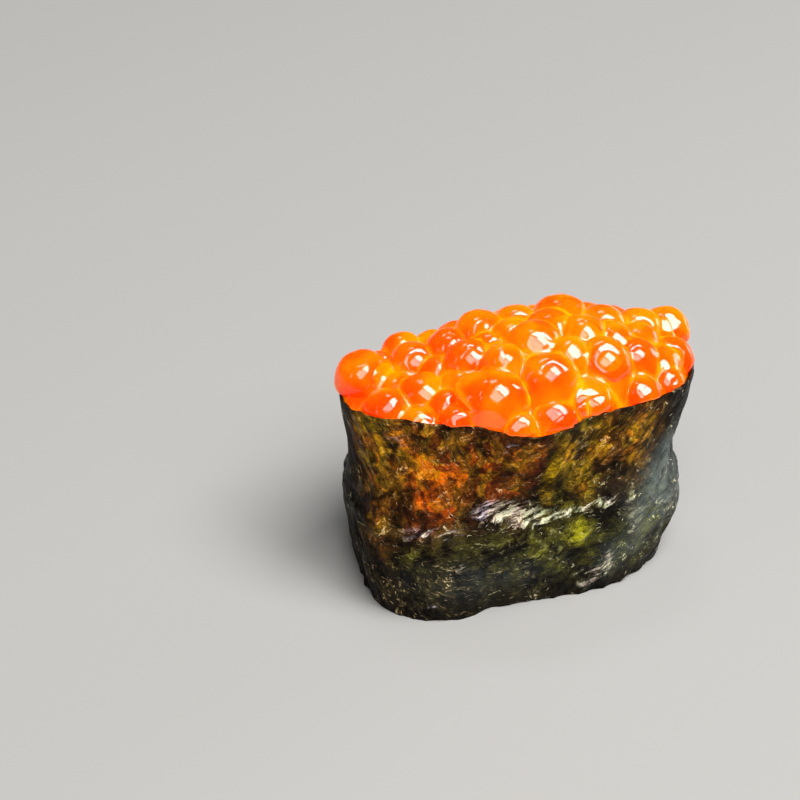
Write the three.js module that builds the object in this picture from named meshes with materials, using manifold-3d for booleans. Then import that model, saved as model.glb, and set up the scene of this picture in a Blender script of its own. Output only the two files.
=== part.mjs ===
// Gunkan sushi: a block of pressed rice, wrapped in a strip of nori that stands up above
// the rice as a collar, and salmon roe heaped in that collar.
// Millimetres, +Z up. The origin is on the resting surface, under the middle of the piece.
// Round the piece, an angle is measured from +X; -90 degrees is the front.
import * as THREE from 'three';
import { mergeVertices } from 'three/addons/utils/BufferGeometryUtils.js';
import Module from 'manifold-3d';

// ---- driving dimensions ----
const WALL_HEIGHT = 30; // nori strip, lower edge to rim
const RICE_HEIGHT = 17; // top of the pressed rice
const SHEET = 0.5; // nori, one layer
const GAP = 0.3; // left between neighbouring pieces

// The outline is a rounded box at the foot and an ellipse, turned a little, at the mouth.
const FOOT = { halfLength: 24, halfDepth: 14.6, power: 3.6, x: 0, y: 0, turn: 0 };
const MOUTH = { halfLength: 26.2, halfDepth: 15.2, power: 2, x: 1.5, y: 0.3, turn: -7 };
const FLARE = 1.4; // how late the outline goes over from foot to mouth

// Belts of the wall: the rice swells it, and it draws in above the rice's shoulder.
const BELTS = [
  { height: 10, spread: 5, out: 0.6 },
  { height: 21, spread: 4, out: -0.7 },
];
// The right end swells and draws in more than the rest.
const END_BELTS = [
  { height: 8, spread: 5, out: 1.3 },
  { height: 18, spread: 3.5, out: -0.3 },
];
const END = { at: -12, width: 26 };
// Waves of the free collar, which fade out down to the rice.
const COLLAR_WAVES = [
  { at: -97, width: 20, out: 1.7 },
  { at: -66, width: 14, out: -1 },
  { at: -40, width: 22, out: -0.4 },
  { at: -140, width: 20, out: -0.8 },
  { at: 22, width: 18, out: 1.5 },
];
const COLLAR_WAVES_FROM = 14; // height at which they begin
const COLLAR_WAVES_RISE = 14; // height over which they grow
// Dents and toes of the foot, which fade out up to the rim.
const FOOT_WAVES = [
  { at: -135, width: 14, out: 1.9, fade: 1.5 },
  { at: -50, width: 18, out: 0.7, fade: 2 },
  { at: 0, width: 20, out: -1, fade: 1 },
  { at: -31, width: 14, out: -1.6, fade: 1.3 },
  { at: 168, width: 36, out: -1.9, fade: 1 },
];
const RIM_WAVES = [
  { at: -150, width: 28, up: 0.8 },
  { at: 140, width: 40, up: -2.6 },
  { at: 70, width: 30, up: -0.8 },
  { at: -50, width: 25, up: 0.7 },
];
const LOWER_EDGE_WAVES = [
  { at: -97, width: 10, up: 0.25 },
  { at: -40, width: 12, up: 0.3 },
  { at: 150, width: 14, up: 0.6 },
];
// The strip's outer end lies over its inner end at the back.
const LAP = { from: 70, to: 103, ramp: 9 };

// The heap of roe: a dome over the mouth, which climbs from one end to the other.
const HEAP = { base: 30, low: 2.4, rise: 6.8, from: -20, over: 34, power: 2.4 };
// The filling: levels of its side over the rice, how far it reaches up and in, and its depth
// under the heap's surface.
const FILLING = { middle: 22, top: 27, reaches: [0.9, 0.68, 0.4], depth: 2.2 };
// Eggs that stand out of the heap: x, y, z of the middle, and diameter.
const STANDING_EGGS = [
  [-20, 6, 30, 7.8], [-12.5, 6, 31, 6], [-12.5, 11, 30, 5.6], [-7, 6, 32.5, 6],
  [-2, 6.5, 34, 6.8], [3.5, 6.5, 34.5, 6], [10, 6, 35, 7], [15.5, 3, 34, 6.4],
  [21.5, 3.5, 32.5, 6], [25.9, 4, 31.5, 6.2], [-19, -2.5, 29.5, 5.8], [-13.5, -1.5, 30.5, 6],
  [-6, 0, 34, 5.8], [3.5, -1.5, 35.5, 7], [24, -3, 30.5, 6.2], [17.5, -5, 33, 6],
  [12, -6.5, 34, 7], [3, -8.5, 34.5, 7], [-2.5, -5, 36, 5], [-5, -8.5, 32.5, 8.4],
  [-10.5, -10, 30, 5.2], [2.5, -12.5, 30, 6.5], [11, -9.5, 29.5, 5.8], [16.5, -10.5, 30.5, 5.2],
  [21.5, -8, 30, 4.8], [-3, -13.5, 30, 4.6],
];
const LOOSE_EGGS = { count: 27, seed: 11, smallest: 5.8, spread: 1.2, tries: 80 };
const EGG_SQUEEZE = 0.93; // eggs touch at this share of the sum of their radii
const EGG_SINK = 0.7; // depth of a loose egg's middle under the heap, in radii
const SETTLING_STEPS = 40;
const PUSH_SHARE = { standing: 0.7, loose: 0.35 }; // of an overlap, given way at each step
// Once settled, eggs swell until they press on each other; the loose ones drop between.
const SWELL = { standing: 1.19, loose: 1.14 };
const LOOSE_DROP = 1.15;
const EGG_DETAIL = 1; // splits of an icosahedron's faces
const EGG_CLEARANCE = 0.1; // added to the gap between eggs and collar
const OVER_RIM = 8; // how far outside the collar an egg is still trimmed below the rim

// Rice grains pressed into the underside.
const GRAIN = {
  length: 6.6, width: 3, height: 2.4, shortest: 0.9, lengthSpread: 0.2, sides: 5, bands: 4,
  count: 42, seed: 5, sink: 0.75, lift: 0.2, margin: 1.9,
};
// Rings of the rice block: height, and distance in from the room that the strip leaves.
const RICE_CORE = [[1, 2.4], [2.4, 0.6], [10, 0.1], [RICE_HEIGHT - 1.6, 0.1], [RICE_HEIGHT, 1.6]];
const RICE_ROOM = [[0, 0], [10, 0], [RICE_HEIGHT + 1, 0]];

const STRIP_COLUMNS = 72;
const FILL_COLUMNS = 40;
const WALL_LEVELS = [0, 0.1, 0.25, 0.4, 0.51, 0.59, 0.7, 0.82, 0.92, 1];
const LAP_EDGE = 0.3; // degrees to either side of the end of the lap
const MERGE_WITHIN = 1e-4;
// Random draws: state * times + plus, kept under the last.
const DRAW = { times: 1664525, plus: 1013904223, under: 2 ** 32 };
const GOLDEN_ANGLE = 137.508;

// ---- shape functions ----
const rad = THREE.MathUtils.degToRad;

function smooth(t) {
  const c = THREE.MathUtils.clamp(t, 0, 1);
  return c * c * (3 - 2 * c);
}

// A bell round one angle: 1 there, fading out over the width, both in degrees.
function bell(angle, at, width) {
  const away = THREE.MathUtils.euclideanModulo(angle - rad(at) + Math.PI, 2 * Math.PI) - Math.PI;
  return Math.exp(-((away / rad(width)) ** 2));
}

// Radius of a superellipse: power 2 is an ellipse, more is nearer to a box.
function oval(angle, o) {
  const a = angle - rad(o.turn);
  const along = Math.abs(Math.cos(a) / o.halfLength) ** o.power;
  const across = Math.abs(Math.sin(a) / o.halfDepth) ** o.power;
  return (along + across) ** (-1 / o.power);
}

// Share of the mouth's outline in the outline at one height.
function mouthShare(z) {
  return THREE.MathUtils.clamp(z / WALL_HEIGHT, 0, 1) ** FLARE;
}

function axisAt(z) {
  const share = mouthShare(z);
  return new THREE.Vector2(
    FOOT.x + (MOUTH.x - FOOT.x) * share,
    FOOT.y + (MOUTH.y - FOOT.y) * share,
  );
}

function beltSum(z, belts) {
  return belts.reduce((sum, b) => sum + b.out * Math.exp(-(((z - b.height) / b.spread) ** 2)), 0);
}

// Distance of the wall's face from its axis.
function wallRadius(angle, z) {
  const share = mouthShare(z);
  const up = THREE.MathUtils.clamp(z / WALL_HEIGHT, 0, 1);
  let r = oval(angle, FOOT) * (1 - share) + oval(angle, MOUTH) * share;
  r += beltSum(z, BELTS) + beltSum(z, END_BELTS) * bell(angle, END.at, END.width);
  const free = smooth((z - COLLAR_WAVES_FROM) / COLLAR_WAVES_RISE);
  for (const w of COLLAR_WAVES) r += w.out * bell(angle, w.at, w.width) * free;
  for (const w of FOOT_WAVES) r += w.out * bell(angle, w.at, w.width) * (1 - up) ** w.fade;
  return r;
}

// Point of the wall's face, moved out by some distance square to the outline.
function wallPoint(angle, z, out = 0) {
  const step = 1e-3;
  const way = (a) => new THREE.Vector2(Math.cos(a), Math.sin(a));
  const at = (a) => axisAt(z).addScaledVector(way(a), wallRadius(a, z));
  const p = at(angle);
  const along = at(angle + step).sub(at(angle - step)).normalize();
  return new THREE.Vector3(p.x + along.y * out, p.y - along.x * out, z);
}

function waveSum(angle, waves) {
  return waves.reduce((sum, w) => sum + w.up * bell(angle, w.at, w.width), 0);
}

const rimHeight = (angle) => WALL_HEIGHT + waveSum(angle, RIM_WAVES);
const lowerEdge = (angle) => waveSum(angle, LOWER_EDGE_WAVES);

// How far the second layer lies over the first: it climbs before the inner end,
// and drops at once at its own end.
function lapShare(angle) {
  if (angle > rad(LAP.to)) return 0;
  return smooth((angle - rad(LAP.from - LAP.ramp)) / rad(LAP.ramp));
}

// Height of the heap's surface above one place.
function heapHeight(x, y) {
  const c = axisAt(WALL_HEIGHT);
  const angle = Math.atan2(y - c.y, x - c.x);
  const reach = Math.min(Math.hypot(x - c.x, y - c.y) / wallRadius(angle, WALL_HEIGHT), 1);
  const crest = HEAP.low + HEAP.rise * smooth((x - HEAP.from) / HEAP.over);
  return HEAP.base + crest * (1 - reach ** HEAP.power);
}

function randomDraws(seed) {
  let state = seed;
  return () => {
    state = (state * DRAW.times + DRAW.plus) % DRAW.under;
    return state / DRAW.under;
  };
}

// ---- closed meshes ----
function ringAngles(count) {
  return Array.from({ length: count }, (_, i) => -Math.PI + (i + 0.5) * (2 * Math.PI / count));
}

// Joins rings of points, each to the next, into quads split in two; the first and the
// last ring are the same for a tube that closes on itself.
function skinRings(rings, closesOnItself) {
  const n = rings[0].length;
  const positions = rings.flat().flatMap((p) => p.toArray());
  const index = [];
  const bands = closesOnItself ? rings.length : rings.length - 1;
  for (let j = 0; j < bands; j++) {
    const low = j * n;
    const high = ((j + 1) % rings.length) * n;
    for (let i = 0; i < n; i++) {
      const next = (i + 1) % n;
      index.push(low + i, low + next, high + next, low + i, high + next, high + i);
    }
  }
  if (!closesOnItself) {
    const bottom = positions.length / 3;
    positions.push(...middleOf(rings[0]).toArray(), ...middleOf(rings.at(-1)).toArray());
    const top = (rings.length - 1) * n;
    for (let i = 0; i < n; i++) {
      const next = (i + 1) % n;
      index.push(bottom, next, i, bottom + 1, top + i, top + next);
    }
  }
  const geometry = new THREE.BufferGeometry();
  geometry.setAttribute('position', new THREE.Float32BufferAttribute(positions, 3));
  geometry.setIndex(index);
  return geometry;
}

function middleOf(ring) {
  return ring.reduce((sum, p) => sum.add(p), new THREE.Vector3()).divideScalar(ring.length);
}

// A standing band between an outer and an inner face, from its lower edge to its rim.
function bandGeometry(angles, outward, inward, taller) {
  const ring = (level, out) => angles.map((a) => {
    const low = lowerEdge(a);
    return wallPoint(a, low + (rimHeight(a) + taller - low) * level, out(a));
  });
  const outer = WALL_LEVELS.map((level) => ring(level, outward));
  const inner = WALL_LEVELS.map((level) => ring(level, inward)).reverse();
  return skinRings([...outer, ...inner], true);
}

// The nori strip; a pair of columns close together makes the edge where its lap ends.
function stripGeometry() {
  const angles = [...ringAngles(STRIP_COLUMNS), rad(LAP.to - LAP_EDGE), rad(LAP.to + LAP_EDGE)];
  angles.sort((a, b) => a - b);
  return bandGeometry(angles, (a) => SHEET * lapShare(a), () => -SHEET, 0);
}

const wasm = await Module();
wasm.setup();

function toSolid(geometry) {
  const bare = geometry.clone();
  bare.deleteAttribute('normal');
  bare.deleteAttribute('uv');
  const merged = mergeVertices(bare, MERGE_WITHIN);
  return new wasm.Manifold(new wasm.Mesh({
    numProp: 3,
    vertProperties: new Float32Array(merged.attributes.position.array),
    triVerts: new Uint32Array(merged.index.array),
  }));
}

// Keeps the outer skin of the largest part, so that a hollow which fusing seals is filled
// and a loose scrap is dropped.
function toGeometry(solid) {
  const parts = solid.decompose().sort((a, b) => b.volume() - a.volume());
  const mesh = parts[0].getMesh();
  const geometry = new THREE.BufferGeometry();
  geometry.setAttribute('position', new THREE.BufferAttribute(new Float32Array(mesh.vertProperties), 3));
  geometry.setIndex(new THREE.BufferAttribute(new Uint32Array(mesh.triVerts), 1));
  return geometry;
}

// ---- rice ----
// A lofted block inside the strip; each ring has a height and a distance in from the strip.
function riceBlock(rings) {
  const angles = ringAngles(FILL_COLUMNS);
  const ring = ([z, inwards]) => angles.map((a) => wallPoint(a, z, -SHEET - GAP - inwards));
  return skinRings(rings.map(ring), false);
}

// Grains lie in a sunflower spiral over the foot, each turned its own way.
function grainGeometries() {
  const draw = randomDraws(GRAIN.seed);
  return Array.from({ length: GRAIN.count }, (_, k) => {
    const turned = k * rad(GOLDEN_ANGLE) + Math.PI;
    const angle = THREE.MathUtils.euclideanModulo(turned, 2 * Math.PI) - Math.PI;
    const reach = Math.sqrt(k / GRAIN.count);
    const edge = wallPoint(angle, 0, -SHEET - GAP - GRAIN.margin);
    const grain = new THREE.SphereGeometry(0.5, GRAIN.sides, GRAIN.bands);
    grain.rotateX(Math.PI / 2);
    grain.rotateY(Math.PI / 2);
    const length = GRAIN.length * (GRAIN.shortest + GRAIN.lengthSpread * draw());
    grain.scale(length, GRAIN.width, GRAIN.height);
    grain.rotateZ(Math.PI * draw());
    grain.translate(edge.x * reach, edge.y * reach, GRAIN.sink + GRAIN.lift * draw());
    return grain;
  });
}

function riceGeometry() {
  const grains = grainGeometries().map(toSolid);
  const pressed = grains.reduce((sum, g) => sum.add(g), toSolid(riceBlock(RICE_CORE)));
  return toGeometry(pressed.intersect(toSolid(riceBlock(RICE_ROOM))));
}

// ---- roe ----
// The eggs' places: the standing ones stay. Each loose one takes, of some places drawn at
// random, the one furthest from all eggs so far. Then the loose ones push each other apart
// on the heap's surface. At last all swell; a standing one keeps its top where it was.
function settledEggs() {
  const draw = randomDraws(LOOSE_EGGS.seed);
  const eggs = STANDING_EGGS.map(([x, y, z, across]) => (
    { at: new THREE.Vector3(x, y, z), r: across / 2, stays: true }
  ));
  for (let i = 0; i < LOOSE_EGGS.count; i++) {
    const r = (LOOSE_EGGS.smallest + LOOSE_EGGS.spread * draw()) / 2;
    const places = Array.from({ length: LOOSE_EGGS.tries }, () => drawnPlace(r, draw));
    const room = places.map((p) => Math.min(...eggs.map((egg) => egg.at.distanceTo(p) - egg.r)));
    eggs.push({ at: places[room.indexOf(Math.max(...room))], r, stays: false });
  }
  for (let step = 0; step < SETTLING_STEPS; step++) {
    const moves = eggs.map((egg) => pushOn(egg, eggs));
    eggs.forEach((egg, i) => {
      if (egg.stays) return;
      egg.at.add(moves[i]);
      keepInCollar(egg.at, egg.r);
    });
  }
  for (const egg of eggs) {
    const fuller = egg.r * (egg.stays ? SWELL.standing : SWELL.loose);
    egg.at.z -= egg.stays ? fuller - egg.r : LOOSE_DROP;
    egg.r = fuller;
  }
  return eggs;
}

function drawnPlace(r, draw) {
  const x = MOUTH.x + MOUTH.halfLength * (2 * draw() - 1);
  const y = MOUTH.y + MOUTH.halfDepth * (2 * draw() - 1);
  return keepInCollar(new THREE.Vector3(x, y, WALL_HEIGHT), r);
}

function pushOn(egg, eggs) {
  const push = new THREE.Vector3();
  for (const other of eggs) {
    if (other === egg) continue;
    const away = egg.at.clone().sub(other.at);
    const apart = away.length();
    const overlap = EGG_SQUEEZE * (egg.r + other.r) - apart;
    const share = other.stays ? PUSH_SHARE.standing : PUSH_SHARE.loose;
    if (overlap > 0) push.addScaledVector(away, (overlap / apart) * share);
  }
  return push;
}

// Draws a place in to where an egg clears the collar, and lays it on the heap.
function keepInCollar(p, r) {
  const c = axisAt(WALL_HEIGHT);
  const angle = Math.atan2(p.y - c.y, p.x - c.x);
  const edge = wallPoint(angle, WALL_HEIGHT, -SHEET - GAP - r);
  const most = Math.hypot(edge.x - c.x, edge.y - c.y);
  const share = Math.min(1, most / Math.hypot(p.x - c.x, p.y - c.y));
  p.x = c.x + (p.x - c.x) * share;
  p.y = c.y + (p.y - c.y) * share;
  p.z = heapHeight(p.x, p.y) - EGG_SINK * r;
  return p;
}

// The filling under the eggs: up along the collar, then in over the heap.
function fillingGeometry() {
  const angles = ringAngles(FILL_COLUMNS);
  const clear = -SHEET - GAP;
  const levels = [RICE_HEIGHT + GAP, FILLING.middle, FILLING.top];
  const sides = levels.map((z) => angles.map((a) => wallPoint(a, z, clear)));
  const c = axisAt(WALL_HEIGHT);
  const dome = FILLING.reaches.map((reach) => angles.map((a) => {
    const edge = wallPoint(a, FILLING.top, clear);
    const x = c.x + (edge.x - c.x) * reach;
    const y = c.y + (edge.y - c.y) * reach;
    return new THREE.Vector3(x, y, heapHeight(x, y) - FILLING.depth);
  }));
  return skinRings([...sides, ...dome], false);
}

// The eggs press flat against the collar, and above its rim they may stand out over it.
function collarRoom() {
  const clearance = SHEET + GAP + EGG_CLEARANCE;
  return bandGeometry(ringAngles(FILL_COLUMNS), () => OVER_RIM, () => -clearance, GAP);
}

function roeGeometry() {
  const balls = settledEggs().map((egg, i) => {
    const ball = new THREE.IcosahedronGeometry(egg.r, EGG_DETAIL);
    ball.rotateX(i);
    ball.rotateZ(2 * i);
    ball.translate(egg.at.x, egg.at.y, egg.at.z);
    return toSolid(ball);
  });
  const heap = balls.reduce((sum, ball) => sum.add(ball), toSolid(fillingGeometry()));
  return toGeometry(heap.subtract(toSolid(collarRoom())));
}

// ---- the piece ----
function named(name, geometry, material) {
  geometry.computeVertexNormals();
  const mesh = new THREE.Mesh(geometry, new THREE.MeshStandardMaterial(material));
  mesh.name = name;
  return mesh;
}

const gunkan = new THREE.Group();
gunkan.add(named('nori', stripGeometry(), { color: 0x1f2116, roughness: 0.42, metalness: 0 }));
gunkan.add(named('rice', riceGeometry(), { color: 0xe9e5d8, roughness: 0.5, metalness: 0 }));
gunkan.add(named('roe', roeGeometry(), { color: 0xff6a08, roughness: 0.12, metalness: 0 }));

// The axis of the foot isn't the middle of the whole, so the group is moved over the origin.
const middle = new THREE.Box3().setFromObject(gunkan).getCenter(new THREE.Vector3());
gunkan.position.set(-middle.x, -middle.y, 0);

export default gunkan;
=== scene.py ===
import bmesh
import bpy
import numpy as np
from mathutils import Matrix, Vector


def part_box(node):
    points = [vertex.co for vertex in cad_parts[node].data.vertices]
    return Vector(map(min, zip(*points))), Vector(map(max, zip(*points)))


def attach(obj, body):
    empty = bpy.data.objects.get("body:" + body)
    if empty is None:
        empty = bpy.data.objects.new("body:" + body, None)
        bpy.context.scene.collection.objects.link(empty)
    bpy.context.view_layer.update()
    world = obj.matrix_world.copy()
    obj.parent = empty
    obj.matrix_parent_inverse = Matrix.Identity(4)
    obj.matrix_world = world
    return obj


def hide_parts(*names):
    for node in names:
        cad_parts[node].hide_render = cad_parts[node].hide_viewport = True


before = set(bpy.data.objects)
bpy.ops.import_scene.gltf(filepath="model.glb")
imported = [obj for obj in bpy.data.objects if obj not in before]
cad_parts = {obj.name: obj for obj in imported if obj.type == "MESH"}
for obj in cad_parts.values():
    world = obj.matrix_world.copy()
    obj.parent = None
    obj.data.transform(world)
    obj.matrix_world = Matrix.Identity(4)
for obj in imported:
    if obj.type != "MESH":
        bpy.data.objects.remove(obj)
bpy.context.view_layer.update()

mm = 0.001  # shapes are worked out in millimetres round the foot's axis; meshes are in metres

# the strip's wall, on which the roe and the rice lean; angles in the tables are degrees from +X
wall = {
    "height": 30.0,          # lower edge to rim
    "riceHeight": 17.0,      # top of the pressed rice
    "sheet": 0.5,            # room that one layer of nori takes
    "gap": 0.3,              # between neighbouring pieces
    "flare": 1.4,            # how late the outline goes over from foot to mouth
    "foot": {"halfLength": 24.0, "halfDepth": 14.6, "power": 3.6, "x": 0.0, "y": 0.0, "turn": 0.0},
    "mouth": {"halfLength": 26.2, "halfDepth": 15.2, "power": 2.0, "x": 1.5, "y": 0.3, "turn": -7.0},
    # height, spread, out: all the way round, then at one end only, whose angle and width follow
    "belts": [(10.0, 5.0, 0.6), (21.0, 4.0, -0.7)],
    "endBelts": [(8.0, 5.0, 1.3), (18.0, 3.5, -0.3)],
    "endAt": (-12.0, 26.0),
    # angle, width, out: they grow over the rise, from this height on
    "collarWaves": [(-97.0, 20.0, 1.7), (-66.0, 14.0, -1.0), (-40.0, 22.0, -0.4), (-140.0, 20.0, -0.8),
                    (22.0, 18.0, 1.5)],
    "collarFrom": 14.0, "collarRise": 14.0,
    # angle, width, out, how soon it fades upwards
    "footWaves": [(-135.0, 14.0, 1.9, 1.5), (-50.0, 18.0, 0.7, 2.0), (0.0, 20.0, -1.0, 1.0),
                  (-31.0, 14.0, -1.6, 1.3), (168.0, 36.0, -1.9, 1.0)],
    # waves of the rim and of the lower edge: angle, width, up
    "rimWaves": [(-150.0, 28.0, 0.8), (140.0, 40.0, -2.6), (70.0, 30.0, -0.8), (-50.0, 25.0, 0.7)],
    "edgeWaves": [(-97.0, 10.0, 0.25), (-40.0, 12.0, 0.3), (150.0, 14.0, 0.6)],
    # the strip's outer end lies over its inner end between these angles, and climbs over the ramp
    "lapFrom": 70.0, "lapTo": 103.0, "lapRamp": 9.0,
    "pressSoft": 0.15,       # softness of what is pressed against the wall
    "rimSoft": 0.8,          # height over which the wall gives way above its rim
}


# t * t * (3 - 2t): a smooth step from 0 to 1
def smooth(t):
    t = np.clip(t, 0.0, 1.0)
    return t * t * (3.0 - 2.0 * t)


# exp(-(away / width)^2): a bell of height 1 round one angle, at and width in degrees
def bell(angle, at, width):
    away = (angle - np.radians(at) + np.pi) % (2.0 * np.pi) - np.pi
    return np.exp(-(away / np.radians(width)) ** 2)


# (|cos / halfLength|^n + |sin / halfDepth|^n)^(-1/n): radius of a superellipse
def oval(angle, o):
    a = angle - np.radians(o["turn"])
    along = np.abs(np.cos(a) / o["halfLength"]) ** o["power"]
    across = np.abs(np.sin(a) / o["halfDepth"]) ** o["power"]
    return (along + across) ** (-1.0 / o["power"])


# (z / height)^flare: how much of the mouth's outline there is at a height
def mouthShare(z):
    return np.clip(z / wall["height"], 0.0, 1.0) ** wall["flare"]


# middle of the outline at a height: the foot's middle going over to the mouth's
def axisAt(z):
    share = mouthShare(z)
    foot, mouth = wall["foot"], wall["mouth"]
    return foot["x"] + (mouth["x"] - foot["x"]) * share, foot["y"] + (mouth["y"] - foot["y"]) * share


# sum of out * exp(-((z - height) / spread)^2)
def beltSum(z, belts):
    return sum(out * np.exp(-((z - height) / spread) ** 2) for height, spread, out in belts)


# distance of the wall's face from its axis: foot and mouth outlines mixed by height, plus belts,
# collar waves and foot waves
def wallRadius(angle, z):
    share = mouthShare(z)
    up = np.clip(z / wall["height"], 0.0, 1.0)
    r = oval(angle, wall["foot"]) * (1.0 - share) + oval(angle, wall["mouth"]) * share
    r = r + beltSum(z, wall["belts"]) + beltSum(z, wall["endBelts"]) * bell(angle, *wall["endAt"])
    free = smooth((z - wall["collarFrom"]) / wall["collarRise"])
    for at, width, out in wall["collarWaves"]:
        r = r + out * bell(angle, at, width) * free
    for at, width, out, fade in wall["footWaves"]:
        r = r + out * bell(angle, at, width) * (1.0 - up) ** fade
    return r


# axis + radius * (cos, sin), then moved out square to the outline, whose way comes from two
# points a small step to either side
def wallPoint(angle, z, out=0.0):
    step = 1e-3

    def at(a):
        x, y = axisAt(z)
        r = wallRadius(a, z)
        return x + r * np.cos(a), y + r * np.sin(a)

    x, y = at(angle)
    xa, ya = at(angle - step)
    xb, yb = at(angle + step)
    tx, ty = xb - xa, yb - ya
    length = np.hypot(tx, ty)
    return x + ty / length * out, y - tx / length * out


# sum of up * bell
def waveSum(angle, waves):
    return sum(up * bell(angle, at, width) for at, width, up in waves)


# height of the rim: the wall's height plus its waves
def rimHeight(angle):
    return wall["height"] + waveSum(angle, wall["rimWaves"])


# smooth step up over the ramp, 0 past the outer end: where the strip lies over itself
def lapShare(angle):
    ramp = np.radians(wall["lapRamp"])
    climbs = smooth((angle - np.radians(wall["lapFrom"]) + ramp) / ramp)
    return np.where(angle > np.radians(wall["lapTo"]), 0.0, climbs)


# angle and distance of points from the axis at height z
def fromAxis(x, y, z):
    cx, cy = axisAt(z)
    return np.arctan2(y - cy, x - cx), np.hypot(x - cx, y - cy)


# points drawn towards the axis at height z, to a share of their distance
def drawnIn(x, y, z, share):
    cx, cy = axisAt(z)
    return cx + (x - cx) * share, cy + (y - cy) * share


# d - k * log(1 + exp((d - s) / k)): s where it is well under d, held at d with a rounded corner
def pressed(s, d, k):
    return d - k * np.logaddexp(0.0, (d - s) / k)


# distance from the axis held under that of a wall this far inside the strip's face; above the
# rim that wall stands further out
def pressInside(p, clear, overRim=0.0):
    z = np.clip(p[:, 2], 0.0, wall["height"])
    angle, reach = fromAxis(p[:, 0], p[:, 1], z)
    above = smooth((p[:, 2] - rimHeight(angle)) / wall["rimSoft"])
    most = fromAxis(*wallPoint(angle, z, -clear), z)[1] + overRim * above
    share = pressed(reach, most, wall["pressSoft"]) / np.maximum(reach, 1e-6)
    return np.stack([*drawnIn(p[:, 0], p[:, 1], z, share), p[:, 2]], axis=1)


# v / |v|
def unit(v):
    return np.asarray(v, float) / np.linalg.norm(v)


# the noise lattice: numbers that scatter its corners, how far apart two seeds read it, and its gain
lattice = {"corner": np.array([374761393, 668265263, 2147483647]), "seed": 144665, "mix": 1274126177,
           "keep": 0x7FFFFFFF, "apart": 17.31, "gain": 1.6}


# gradient noise on points in space: corner gradients from a hash of the lattice, mixed by
# t^3 * (6t^2 - 15t + 10); about -1 to 1
def noise(p, size, seed=0):
    q = np.asarray(p, float) / size + seed * lattice["apart"]
    cell = np.floor(q).astype(np.int64)
    f = q - cell
    w = f * f * f * (f * (f * 6.0 - 15.0) + 10.0)
    total = 0.0
    for corner in range(8):
        o = np.array([corner & 1, corner >> 1 & 1, corner >> 2 & 1])
        h = (((cell + o) * lattice["corner"]).sum(axis=-1) + seed * lattice["seed"]) & lattice["keep"]
        h = ((h ^ (h >> 13)) * lattice["mix"]) & lattice["keep"]
        h = h ^ (h >> 16)
        turn = (h & 0xFFFF) / 65536.0 * 2.0 * np.pi
        lift = ((h >> 8) & 0xFFFF) / 32768.0 - 1.0
        flat = np.sqrt(np.clip(1.0 - lift * lift, 0.0, 1.0))
        d = f - o
        dot = d[..., 0] * flat * np.cos(turn) + d[..., 1] * flat * np.sin(turn) + d[..., 2] * lift
        total = total + np.prod(np.where(o == 1, w, 1.0 - w), axis=-1) * dot
    return total * lattice["gain"]


# the frame's origin is under the middle of the whole piece: how far the foot's axis is from it,
# as the low corner of the CAD strip's box less that of the wall
def findShift():
    angle = np.linspace(-np.pi, np.pi, 1441)
    z = np.linspace(0.0, wall["height"], 121)
    x, y = wallPoint(angle[:, None], z[None, :])
    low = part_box("nori")[0]
    return np.array([low.x / mm - x.min(), low.y / mm - y.min(), 0.0])


shift = findShift()


# an object in the scene, at the origin
def newObject(name, data):
    made = bpy.data.objects.new(name, data)
    bpy.context.scene.collection.objects.link(made)
    return made


# a smooth mesh of (point + shift) * mm and faces of one size
def meshPiece(name, points, faces, material):
    mesh = bpy.data.meshes.new(name)
    points = (np.asarray(points, float) + shift) * mm
    faces = np.asarray(faces, np.int32)
    mesh.vertices.add(len(points))
    mesh.vertices.foreach_set("co", points.ravel())
    mesh.loops.add(faces.size)
    mesh.loops.foreach_set("vertex_index", faces.ravel())
    mesh.polygons.add(len(faces))
    mesh.polygons.foreach_set("loop_start", np.arange(len(faces), dtype=np.int32) * faces.shape[1])
    mesh.polygons.foreach_set("use_smooth", np.full(len(faces), True))
    mesh.update(calc_edges=True)
    mesh.validate()
    mesh.materials.append(material)
    return newObject(name, mesh)


# one number for each point of a piece
def addAttribute(piece, name, values):
    layer = piece.data.attributes.new(name, "FLOAT", "POINT")
    layer.data.foreach_set("value", np.asarray(values, np.float32).ravel())


# quads between neighbouring points of a grid; either way round may close on itself
def gridFaces(rows, columns, closeRows=False, closeColumns=True):
    j = np.arange(rows if closeRows else rows - 1)
    i = np.arange(columns if closeColumns else columns - 1)
    j, i = np.meshgrid(j, i, indexing="ij")
    up, side = (j + 1) % rows, (i + 1) % columns
    quads = np.stack([j * columns + i, j * columns + side, up * columns + side, up * columns + i], axis=-1)
    return quads.reshape(-1, 4)


# the same faces again for each copy, its numbers moved on by the points of those before it
def repeated(faces, points, copies):
    return np.concatenate([faces + k * points for k in range(copies)])


# points of a ring at height z
def ring(x, y, z):
    return np.stack([x, y, np.full_like(x, z)], axis=-1)


# rings joined by quads, with one face over either end
def ringPiece(name, rings, material):
    around = len(rings[0])
    last = (len(rings) - 1) * around
    piece = meshPiece(name, np.concatenate(rings), gridFaces(len(rings), around), material)
    work = bmesh.new()
    work.from_mesh(piece.data)
    work.verts.ensure_lookup_table()
    for end in (range(around)[::-1], range(last, last + around)):
        face = work.faces.new([work.verts[i] for i in end])
        face.smooth = True
    work.to_mesh(piece.data)
    work.free()
    return piece


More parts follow.
